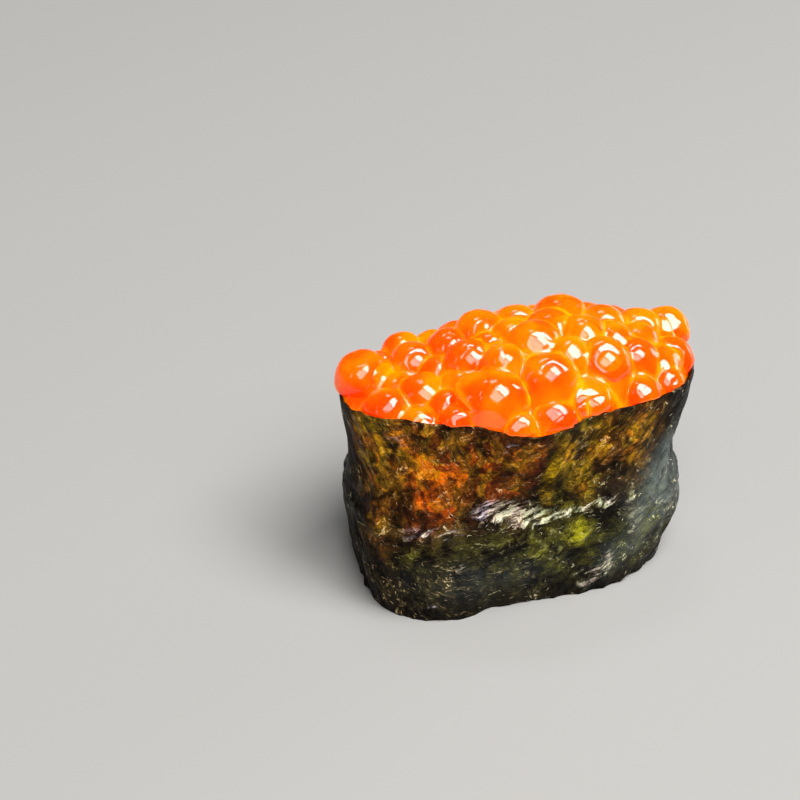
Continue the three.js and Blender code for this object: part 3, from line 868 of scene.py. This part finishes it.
# sum of out * bell across each line * root of the sine along it, which thins its ends
def creaseSum(angle, z, points):
    size, amount = nori["creaseBend"]
    bend = amount * noise(points, size, 40)
    perDegree = nori["perDegree"]
    total = 0.0
    for fromAngle, fromZ, toAngle, toZ, width, out in nori["creases"]:
        du, dz = (toAngle - fromAngle) * perDegree, toZ - fromZ
        pu = ((np.degrees(angle) - fromAngle + 180.0) % 360.0 - 180.0) * perDegree
        share = np.clip((pu * du + (z - fromZ) * dz) / (du * du + dz * dz), 0.0, 1.0)
        away = np.hypot(pu - share * du + bend, z - fromZ - share * dz)
        total = total + out * np.exp(-(away / width) ** 2) * np.sin(np.pi * np.clip(share, 0.04, 0.96)) ** 0.5
    return total


# relief of the sheet, outwards: crumples + ridges + bumps of the rice + the fold's step, a tanh in
# height that fades away from it, + creases + the tear, a slanting bell; held under its most
def noriRelief(angle, u, z, points):
    low = sum(noise(points * stretch, size, seed) * high for stretch, size, high, seed in nori["crumples"])
    size, high, fadeAt, fadeOver = nori["riceBumps"]
    grains = noise(points, size, 5) * high * (1.0 - smooth((z - fadeAt) / fadeOver))
    size, amount = nori["foldWander"]
    at = alongFold(angle, 1) + amount * noise(points * [1, 1, 0.0], size, 7)
    lift, soft, fade = nori["foldStep"]
    fold = -0.5 * alongFold(angle, 2) * np.tanh((z - at - lift) / soft) * np.exp(-((z - at) / fade) ** 2)
    tearAngle, tearHeight, perDegree, depth, halfWidth, halfLength = nori["tear"]
    tu, tz = (np.degrees(angle) - tearAngle) * perDegree, z - tearHeight
    tear = -depth * np.exp(-((tu - tz) / halfWidth) ** 2 - ((tu + tz) / halfLength) ** 2)
    total = low + ridgeSum(angle, u, z, points) + grains + fold + creaseSum(angle, z, points) + tear
    return -pressed(-total, *nori["mostRelief"])


# a band of the wall's points moved by the relief, outer face up and inner face down, closed over
# rim and lower edge; its UV map is in millimetres, along the strip from its inner end and up
def buildNori():
    columns, outerRows, innerRows = nori["columns"], nori["outerRows"], nori["innerRows"]
    edge = np.radians(nori["edge"])
    start = np.radians(wall["lapTo"])
    turn = np.concatenate([[edge], (np.arange(columns) + 0.5) * 2.0 * np.pi / columns, [2.0 * np.pi - edge]])
    angle = (start + turn + np.pi) % (2.0 * np.pi) - np.pi
    atX, atY = wallPoint(angle, wall["riceHeight"])
    arc = np.concatenate([[0.0], np.cumsum(np.hypot(np.diff(atX), np.diff(atY)))])

    def faceRows(count, inner):
        a, v = np.meshgrid(angle, np.linspace(0.0, 1.0, count), indexing="xy")
        u = np.broadcast_to(arc, a.shape)
        low = waveSum(a, wall["edgeWaves"])
        size, high = nori["nick"]
        nick = noise(ring(*wallPoint(a, low + (rimHeight(a) - low) * v), 0.0), size, 50) * high
        z = low + (rimHeight(a) + nick - low) * v
        out = noriRelief(a, u, z, ring(*wallPoint(a, z), z))
        if inner:
            out = np.minimum(out, nori["mostOut"]) - nori["thickness"]
        else:
            out = out + wall["sheet"] * lapShare(a)
        return a, u, z, np.stack([*wallPoint(a, z, out), z], axis=-1)

    outer = faceRows(outerRows, False)
    inner = [part[::-1] for part in faceRows(innerRows, True)]
    a, u, z, points = [np.concatenate(both).reshape(-1, *both[0].shape[2:]) for both in zip(outer, inner)]
    faces = gridFaces(outerRows + innerRows, len(angle), closeRows=True)
    piece = meshPiece("nori_sheet", points, faces, noriMaterial())
    uv = np.stack([u[faces], z[faces]], axis=-1)
    column = faces % len(angle)
    closing = (column == 0) & (column.max(axis=1, keepdims=True) > 1)  # start again from the full length
    uv[..., 0] += np.where(closing, arc[-1], 0.0)
    layer = piece.data.uv_layers.new(name="sheet")
    layer.data.foreach_set("uv", uv.ravel().astype(np.float32))
    zones = {name: zoneSum(a, z, rows) for name, rows in nori["zones"].items()}
    values = {name: strength for name, (strength, hue) in zones.items()}
    shares = leanShares(a, z)
    lean = sum(share * one for share, one in zip(shares, nori["leans"])) / np.maximum(sum(shares), 0.1)
    values |= {"warmHue": zones["warm"][1], "greenHue": zones["green"][1],
               "paleHue": np.where(values["pale"] > values["spots"], zones["pale"][1], zones["spots"][1]),
               "leanLeft": shares[0], "flat": shares[1], "leanRight": shares[2], "lean": np.radians(lean),
               "overFold": z - alongFold(a, 1)}
    for name, one in values.items():
        addAttribute(piece, name, one)
    return piece


# the sheet's coordinates from a seeded place, turned by the lean and drawn out along it
def turnedSheet(sheet, lean, along, across, start):
    return node(sheet.tree, "ShaderNodeMapping", {"vector_type": "TEXTURE"},
                {"Vector": sheet, "Location": (*start, 0.0), "Rotation": (0.0, 0.0, np.radians(lean)),
                 "Scale": (along, across, 1.0)})


# ridged noise drawn out along the lean: thin bright crests that bunch together
def crestLayer(sheet, lean, along, across, seed):
    turned = turnedSheet(sheet, lean, along, across, (seed * 7.3, seed * 3.1))
    return node(sheet.tree, "ShaderNodeTexNoise",
                {"noise_type": "RIDGED_MULTIFRACTAL", "noise_dimensions": "2D", "normalize": False},
                {"Vector": turned, "Scale": 1.0, "Detail": 2.5, "Roughness": 0.55, "Lacunarity": 2.1,
                 "Offset": 0.85, "Gain": 1.8})


# smooth noise drawn out along the lean
def streakLayer(sheet, lean, along, across, seed):
    turned = turnedSheet(sheet, lean, along, across, (seed * 5.7, seed * 9.1))
    return node(sheet.tree, "ShaderNodeTexNoise", {"noise_dimensions": "2D"},
                {"Vector": turned, "Scale": 1.0, "Detail": 5.0, "Roughness": 0.6})


# one short thin stroke in each cell, turned near the lean: 1 - along^2 - across^2 round the
# cell's own point, in a share of the cells
def strokeLayer(sheet, lean, spread, scale, length, width, share):
    tree = sheet.tree
    point = node(tree, "ShaderNodeTexVoronoi", {"voronoi_dimensions": "2D"},
                 {"Vector": sheet, "Scale": scale}, out=2)
    turn = node(tree, "ShaderNodeSeparateColor", {}, {0: point.outlet(1)})
    away = node(tree, "ShaderNodeVectorMath", {"operation": "SUBTRACT"}, {0: sheet, 1: point})
    away = node(tree, "ShaderNodeVectorRotate", {"rotation_type": "Z_AXIS", "invert": True},
                {"Vector": away, "Angle": lean + (turn - 0.5) * spread})
    away = node(tree, "ShaderNodeSeparateXYZ", {}, {0: away})
    along, across = away / length, away.outlet(1) / width
    stroke = (1.0 - along * along - across * across).clamped()
    return stroke * ((turn.outlet(1) - 1.0 + share) / share).clamped()


# near black, with the thin places of the zones showing through in cells, clouds and streaks along the fibres,
# the warm ones with the roe's light painted through them; a painted sheen, painted glints, the fold's painted
# highlight and a painted shadow under it; each share of a colour is its zone * clouds * cell tone * streaks
def noriMaterial():
    material, tree = newMaterial("noriSheet")

    def clouds(vector, scale, detail, low, high):
        return stepped(noiseOn(vector, scale, detail, 0.62), low, high)

    warm, green, pale, haze = [attribute(tree, name) for name in ("warm", "green", "pale", "haze")]
    spots, overFold, lean = [attribute(tree, name) for name in ("spots", "overFold", "lean")]
    leanLeft = attribute(tree, "leanLeft")
    # the sheet's coordinates, more and more bent and ragged
    sheet = node(tree, "ShaderNodeUVMap", {"uv_map": "sheet"})
    warp = noiseOn(sheet, 0.22, 2.0, out=1)
    warped, gentle = nudged(sheet, warp, 2.4), nudged(sheet, warp, 1.0)
    ragged = nudged(warped, noiseOn(sheet, 1.0, 2.0, 0.6, out=1), 1.7)
    bent = nudged(gentle, noiseOn(sheet, 0.9, 1.0, out=1), 0.6)
    # cells with a tone and a hue each, clouds from coarse to fine, strokes and streaks
    cells = node(tree, "ShaderNodeTexVoronoi", {"voronoi_dimensions": "2D"},
                 {"Vector": ragged, "Scale": 0.62}, out=1)
    cellTone = node(tree, "ShaderNodeSeparateColor", {}, {0: cells})
    cellHue = cellTone.outlet(1)
    patches = clouds(warped, 0.30, 3.0, 0.40, 0.58)
    flecks = clouds(ragged, 0.8, 2.5, 0.38, 0.60)
    fine = clouds(ragged, 2.2, 1.5, 0.36, 0.64)
    bunches = clouds(sheet, 0.30, 2.0, 0.50, 0.64)
    long = strokeLayer(bent, lean, 0.6, 0.50, 1.5, 0.06, 0.5)
    short = strokeLayer(bent, lean, 1.3, 1.6, 0.36, 0.06, 0.4)
    crests = 0.0
    streaks = 0.0
    for k, (name, degrees) in enumerate(zip(("leanLeft", "flat", "leanRight"), nori["leans"])):
        share = attribute(tree, name) * 0.75 + 0.25
        crests = crestLayer(ragged, degrees, 3.2, 1.3, k) * share + crests
        streaks = streakLayer(gentle, degrees, 3.4, 0.7, k) * share + streaks
    wrinkles = stepped(crests, 0.5, 2.0)
    grain = stepped(streaks, 0.55, 0.95)
    # painted glints: bright strokes and specks, gathered in bunches, on the left, on the bright spots and in
    # the sheen
    gathered = bunches * 0.7 + 0.01 + leanLeft * 0.22 + spots * 0.5 + haze * 0.12
    glints = ((long + short * 1.1) * gathered * (flecks * 0.7 + 0.3)).clamped()
    glintSpecks = stepped(fine * flecks * (cellTone + 0.4), 0.75, 1.2) * (bunches * 0.5 + 0.1)
    # above the fold's edge, and the painted shadow line just under it
    crisp = stepped(overFold + (flecks - 0.5) * 0.4, -0.1, 0.1)
    under = stepped(overFold + (flecks - 0.5) * 0.5, -1.5, -0.1) * (1.0 - crisp) * (pale * 1.5).clamped()
    # colours: dark ground, painted sheen, green thin places, warm thin places with painted glow, the painted
    # shadow line, painted glints, the fold's painted highlight
    base = mixColour((flecks * 0.5 + patches * 0.45) * (cellTone * 0.7 + 0.3), nori["dark"], nori["patch"])
    # painted sheen: a blue-grey veil over the dark sheet
    inSheen = (haze * (grain * 0.55 + flecks * 0.15 + 0.35)).clamped()
    base = mixColour(inSheen, base, nori["sheenTint"])
    olive = onRamp(attribute(tree, "greenHue") + (cellHue - 0.5) * 0.4, nori["olive"])
    inGreen = green * (patches * 1.1 + 0.08) * (flecks * 0.5 + 0.4) * (cellTone * 0.9 + 0.35)
    inGreen = inGreen * (fine * 0.5 + 0.62) * (grain * 0.5 + 0.7)
    base = mixColour(inGreen.clamped(), base, olive)
    amber = onRamp(attribute(tree, "warmHue") + (cellHue - 0.4) * 0.6, nori["amber"])
    # warm thin places, with the roe's light painted through them
    inWarmGlow = warm * (patches * 0.85 + 0.22) * (flecks * 0.45 + 0.42) * (cellTone + 0.38)
    inWarmGlow = (inWarmGlow * (fine * 0.45 + 0.66) * (grain * 1.2 + 0.46)).clamped()
    base = mixColour(inWarmGlow, base, amber)
    # painted shadow line under the fold
    base = mixColour(under * 0.75, base, nori["foldShadowColour"])
    # glints and specks painted in the base colour, greenish or warm
    lit = mixColour((warm + leanLeft * 0.8).clamped(), nori["litGreen"], nori["litWarm"])
    base = mixColour((glints * 1.2 + glintSpecks).clamped(), base, lit)
    bands = stepped(streakLayer(bent, 18.0, 4.5, 0.5, 9), 0.42, 0.60)
    streaky = stepped(crests, 0.0, 1.9) * 0.4 + grain * 0.3 + fine * 0.15 + flecks * 0.3
    streaky = streaky * (bands * 0.9 + 0.35)
    # the fold's painted highlight, streaky, with brighter painted streaks in it
    inFoldHighlight = stepped((pale * crisp + spots) * streaky, 0.12, 0.95) * 0.9
    base = mixColour(inFoldHighlight, base, onRamp(attribute(tree, "paleHue") + (cellHue - 0.5) * 0.5, nori["cream"]))
    foldHighlightStreaks = (stepped(crests, 1.0, 2.2) * 0.7 + stepped(long, 0.0, 0.5) * 0.6).clamped()
    base = mixColour(inFoldHighlight * foldHighlightStreaks, base, nori["foldHighlightStreaks"])
    height = (fine * 0.25 + flecks * 0.5 + wrinkles * 0.9) * (1.0 - haze * 0.6).clamped()
    shine = (glints * 0.6 + glintSpecks * 0.5 + wrinkles * bunches * 0.3 + inFoldHighlight * 0.4 + haze * 0.15).clamped()
    # the warm thin places also glow: painted light of the roe behind
    finishMaterial(tree, {"Base Color": base, "Roughness": 0.5 - grain * 0.2, "Coat Weight": shine,
                          "Emission Color": mixColour(inWarmGlow * 0.5, (0.0, 0.0, 0.0), amber),
                          "Normal": bumped(height, 0.00015), **nori["finish"]})
    return material


rice = {
    # grains of the underside; they stand in a spiral by this turn, up to this far inside the strip
    "grains": 110, "length": 6.4, "width": 2.9, "height": 2.4, "seed": 5, "faceSteps": 5,
    "lengths": (0.85, 1.1), "spiral": 137.508, "inside": 1.9,
    "arch": 0.08, "taper": 0.25, "groove": (0.12, 0.22),     # shape of a grain; groove: depth, width
    "up": (1.0, 0.3),        # least height of a grain's middle, and range
    "floor": (0.01, 0.1),    # grains are pressed flat on the floor: its height, softness
    # rings of the block: height, distance inside the strip, share of that outline
    "blockRings": [(1.2, 2.2, 0.1), (1.2, 2.2, 0.6), (1.2, 2.2, 1.0), (2.4, 0.6, 1.0), (6.0, 0.1, 1.0),
                   (10.0, 0.1, 1.0), (15.4, 0.1, 1.0), (16.6, 0.5, 1.0), (17.0, 1.6, 1.0), (17.0, 2.2, 0.6)],
    "blockColumns": 120,
    "shade": (0.72, 0.68, 0.56), "light": (0.85, 0.82, 0.74),
    "finish": {"Roughness": 0.35, "Subsurface Weight": 0.6, "Subsurface Scale": 0.0015,
               "Subsurface Radius": (1.0, 0.9, 0.7), "Coat Weight": 0.3, "Coat Roughness": 0.15},
}


# white to cream in clouds, which also make the bump
def riceMaterial():
    material, tree = newMaterial("riceGrain")
    cloud = noiseOn(node(tree, "ShaderNodeTexCoord", out=3), 300.0, 2.0)
    finishMaterial(tree, {"Base Color": mixColour(cloud, rice["shade"], rice["light"]),
                          "Normal": bumped(cloud, 0.0003, 0.2), **rice["finish"]})
    return material


# a ball stretched along x and tapered by 1 - taper * x^4, its back arched by x^2 less a third, so
# that its middle stays, with a shallow groove, a bell across it, along the top
def grainShape(directions, length):
    x, y, z = directions.T
    depth, width = rice["groove"]
    arch = -rice["arch"] * length * (x * x - 0.33)
    groove = 1.0 - depth * np.exp(-(y / width) ** 2) * (z > 0)
    return np.stack([x * length / 2.0, y * rice["width"] / 2.0 * (1.0 - rice["taper"] * x ** 4),
                     z * rice["height"] / 2.0 * groove + arch], axis=1)


# grain k lies at k turns of the spiral, at sqrt(k / grains) of the way out, turned at random; the
# block above them is a loft of the strip's inner outline
def buildRice():
    rng = np.random.default_rng(rice["seed"])
    material = riceMaterial()
    directions, quads = ballTemplate(rice["faceSteps"])
    clear = wall["sheet"] + wall["gap"]
    shapes = []
    for k in range(rice["grains"]):
        angle = (k * np.radians(rice["spiral"]) + np.pi) % (2.0 * np.pi) - np.pi
        reach = np.sqrt(k / rice["grains"])
        ex, ey = wallPoint(angle, 0.0, -clear - rice["inside"])
        turn = np.pi * rng.random()
        p = grainShape(directions, rice["length"] * rng.uniform(*rice["lengths"]))
        c, s = np.cos(turn), np.sin(turn)
        p = np.stack([p[:, 0] * c - p[:, 1] * s, p[:, 0] * s + p[:, 1] * c, p[:, 2]], axis=1)
        p = p + [ex * reach, ey * reach, rice["up"][0] + rice["up"][1] * rng.random()]
        floorAt, soft = rice["floor"]
        p[:, 2] = -pressed(-p[:, 2], -floorAt, soft)
        shapes.append(pressInside(p, clear))
    faces = repeated(quads, len(directions), len(shapes))
    grains = meshPiece("rice_grains", np.concatenate(shapes), faces, material)
    angle = np.linspace(-np.pi, np.pi, rice["blockColumns"], endpoint=False)
    rings = []
    for z, inside, share in rice["blockRings"]:
        x, y = wallPoint(angle, z, -clear - inside)
        rings.append(ring(x * share, y * share, z))
    return [grains, ringPiece("rice_block", rings, material)]


view = {
    "azimuth": -20.0, "elevation": 34.0, "distance": 330.0,
    "target": (0.0, 0.0, 17.0),
    "renderSize": 800.0,
    "targetPixel": (507.0, 447.5),   # where the target shows in the render
    "pixelsPerMm": 6.75,             # at the target
    "sensor": 36.0, "nearest": 0.01,
}


# (sin a * cos e, -cos a * cos e, sin e): from the piece towards an azimuth and elevation
def wayTo(azimuth, elevation):
    a, e = np.radians(azimuth), np.radians(elevation)
    return np.array([np.sin(a) * np.cos(e), -np.cos(a) * np.cos(e), np.sin(e)])


# the camera stands at target + back * distance, and looks past the target so that it shows at
# its pixel, with no lens shift
def buildCamera():
    a = np.radians(view["azimuth"])
    back = wayTo(view["azimuth"], view["elevation"])
    right = np.array([np.cos(a), np.sin(a), 0.0])
    up = np.cross(back, right)
    dx, dy = [(pixel - view["renderSize"] / 2.0) / view["pixelsPerMm"] for pixel in view["targetPixel"]]
    target = np.array(view["target"]) + shift
    spot = target + back * view["distance"]
    aim = target - right * dx + up * dy
    data = bpy.data.cameras.new("camera")
    data.sensor_width = view["sensor"]
    data.lens = view["sensor"] * view["pixelsPerMm"] * view["distance"] / view["renderSize"]
    data.clip_start = view["nearest"]
    camera = newObject("camera", data)
    camera.location = Vector(spot * mm)
    camera.rotation_euler = Vector((aim - spot) * mm).to_track_quat("-Z", "Y").to_euler()
    bpy.context.scene.camera = camera


stage = {
    "target": (0.0, 0.0, 0.022),     # what the lamps point at, in metres
    # a window of two panes, bright over dim: azimuth, elevation, roll, distance
    "window": (20.0, 64.0, -72.0, 1.4),
    # place in the window, width, height as shares of the distance, radiance
    "panes": [(0.0, 0.30, 0.66, 0.48, 15.0), (0.0, -0.29, 0.66, 0.54, 5.5)],
    "daylight": (1.0, 0.985, 0.96),
    # others: azimuth, elevation, distance, width, height, radiance, colour
    "soft": (15.0, 55.0, 1.4, 1.1, 1.0, 4.0, (1.0, 0.985, 0.96)),   # lights, but isn't mirrored
    "top": (170.0, 68.0, 1.2, 0.32, 0.24, 6.0, (0.96, 0.98, 1.0)),
    "rightEdge": (108.0, 10.0, 1.0, 0.40, 0.30, 5.0, (0.85, 0.93, 1.0)),
    "leftFill": (-80.0, 30.0, 1.2, 0.20, 0.50, 1.6, (1.0, 0.97, 0.93)),
    "room": (0.92, 0.94, 0.96, 1.0), "roomStrength": 0.03,
    "floorHalf": 3.0,
    "floorFinish": {"Base Color": (0.29, 0.287, 0.281), "Roughness": 0.6},
}


# a rectangle of width * height with this radiance gives out radiance * pi * width * height watts
def addLamp(name, place, turn, width, height, radiance, colour):
    data = bpy.data.lights.new(name, "AREA")
    data.shape = "RECTANGLE"
    data.size, data.size_y, data.color = width, height, colour
    data.energy = radiance * np.pi * width * height
    lamp = newObject(name, data)
    lamp.matrix_world = Matrix.Translation(place) @ turn
    return lamp


# the turn that makes a lamp look back along its way
def lookingBack(way):
    return (-way).to_track_quat("-Z", "Y").to_matrix().to_4x4()


# each lamp stands at target + way * distance
def buildStage():
    target = Vector(stage["target"])
    azimuth, elevation, roll, distance = stage["window"]
    way = Vector(wayTo(azimuth, elevation))
    turn = lookingBack(way) @ Matrix.Rotation(np.radians(roll), 4, "Z")
    for k, (x, y, width, height, radiance) in enumerate(stage["panes"]):
        place = target + way * distance + turn.to_3x3() @ Vector((x, y, 0.0)) * distance
        addLamp(f"pane{k}", place, turn, width * distance, height * distance, radiance, stage["daylight"])
    for name in ("soft", "top", "rightEdge", "leftFill"):
        azimuth, elevation, distance, *rest = stage[name]
        way = Vector(wayTo(azimuth, elevation))
        lamp = addLamp(name, target + way * distance, lookingBack(way), *rest)
        lamp.visible_glossy = name != "soft"
    world = bpy.data.worlds.new("softRoom")
    world.use_nodes = True
    room = world.node_tree.nodes["Background"]
    room.inputs[0].default_value = stage["room"]
    room.inputs[1].default_value = stage["roomStrength"]
    bpy.context.scene.world = world
    bpy.context.scene.view_settings.view_transform = "Standard"
    half = stage["floorHalf"]
    floor = newObject("floor", bpy.data.meshes.new("floor"))
    corners = [(-half, -half, 0), (half, -half, 0), (half, half, 0), (-half, half, 0)]
    floor.data.from_pydata(corners, [], [(0, 1, 2, 3)])
    material, tree = newMaterial("paleFloor")
    finishMaterial(tree, stage["floorFinish"])
    floor.data.materials.append(material)


print("scene: camera and stage")
buildCamera()
buildStage()

print("scene: roe")
roePieces = buildRoe()
for piece in roePieces:
    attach(piece, "root")
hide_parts("roe")

print("scene: nori")
noriPiece = buildNori()
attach(noriPiece, "root")
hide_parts("nori")

print("scene: rice")
ricePieces = buildRice()
for piece in ricePieces:
    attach(piece, "root")
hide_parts("rice")
